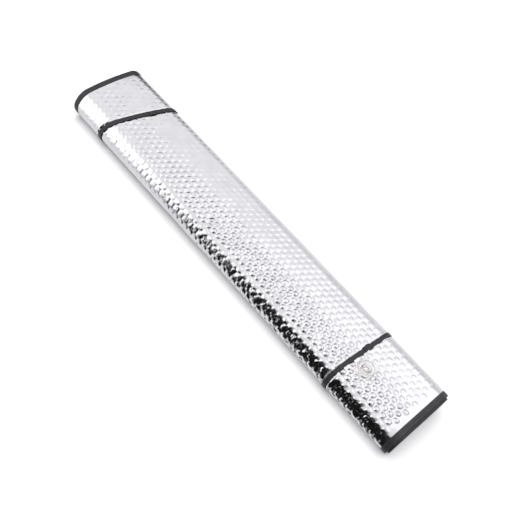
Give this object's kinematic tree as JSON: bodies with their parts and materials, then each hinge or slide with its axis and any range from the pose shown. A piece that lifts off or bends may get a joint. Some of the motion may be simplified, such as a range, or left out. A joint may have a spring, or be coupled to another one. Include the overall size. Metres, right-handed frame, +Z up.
{
  "type": "car sunshade",
  "caption": "Silvered bubble-film windscreen sunshade, rolled flat, bound edges, held by elastic loops, with a clear suction cup.",
  "frame": {"origin": "middle of the pack's underside, on the surface that the two elastic loops rest on", "axes": "+X along the pack, towards the end with the suction cup; +Y across it, away from the long side where the outer layer turns down; +Z up"},
  "size_m": [0.7, 0.13, 0.0546],
  "materials": {
    "silver_film": "silvered bubble film, bright, with raised bubbles",
    "edge_tape": "black non-woven tape, sewn",
    "elastic": "black braided elastic, ribbed along its length",
    "clear_vinyl": "clear, faintly yellowed, soft and glossy"
  },
  "bodies": {
    "root": {"foil_sheet": "silver_film", "edge_binding_near": "edge_tape", "edge_binding_far": "edge_tape", "edge_binding_outer": "edge_tape", "edge_binding_inner": "edge_tape", "strap_near": "elastic", "strap_far": "elastic", "suction_cup": "clear_vinyl"}
  },
  "joints": []
}
